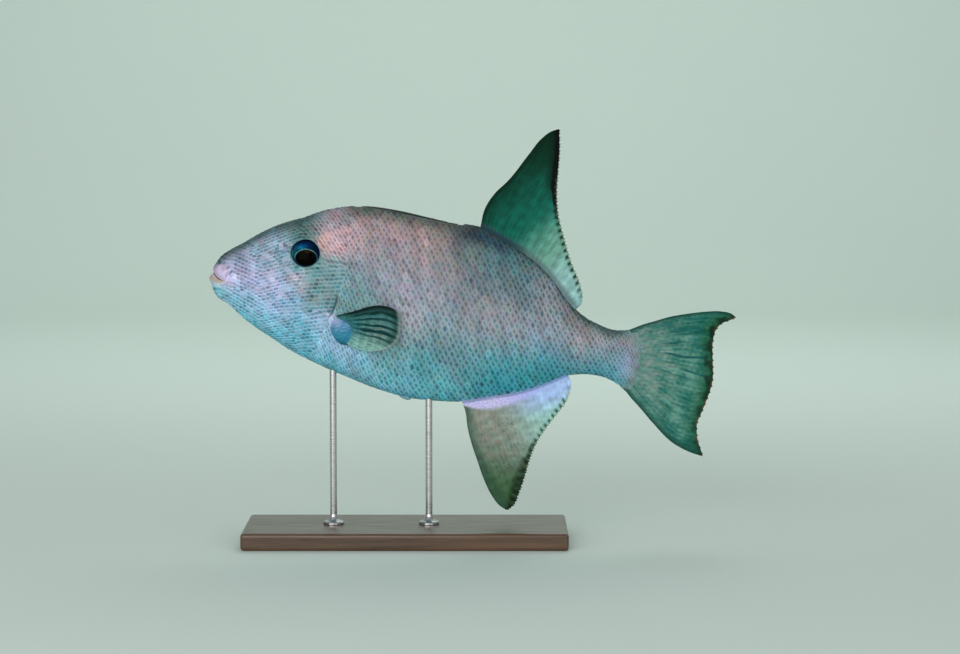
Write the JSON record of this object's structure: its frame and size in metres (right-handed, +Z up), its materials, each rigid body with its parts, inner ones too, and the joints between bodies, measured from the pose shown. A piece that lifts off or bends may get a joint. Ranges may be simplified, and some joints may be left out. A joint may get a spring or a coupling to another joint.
{
  "type": "ocean triggerfish model",
  "caption": "Life-size ocean triggerfish in a level swimming pose with its tall fins spread, on a flat base with two short rods.",
  "frame": {"origin": "on the surface that the stand rests on, under the middle of the whole model", "axes": "+X from the snout towards the tail fin, level; +Y towards the fish's right flank; +Z up. The fish itself is pitched 10.5 degrees nose-up about Y."},
  "size_m": [0.4541, 0.11, 0.3573],
  "materials": {
    "scaled_skin": "slightly wet, fine diamond scale plates",
    "fin_membrane": "thin satin membrane with raised rays",
    "spine": "satin",
    "eye": "wet gloss",
    "stand_wood": "satin varnish",
    "stand_metal": "fine brushed"
  },
  "bodies": {
    "root": {"head": "scaled_skin", "torso": "scaled_skin", "tail_stem": "scaled_skin", "pelvic_spine": "scaled_skin", "first_dorsal_fin": "spine", "second_dorsal_fin": "fin_membrane", "anal_fin": "fin_membrane", "caudal_fin": "fin_membrane", "pectoral_fin_left": "fin_membrane", "pectoral_fin_right": "fin_membrane", "eye_left": "eye", "eye_right": "eye", "stand_base": "stand_wood", "stand_rod_front": "stand_metal", "stand_rod_rear": "stand_metal"}
  },
  "joints": []
}
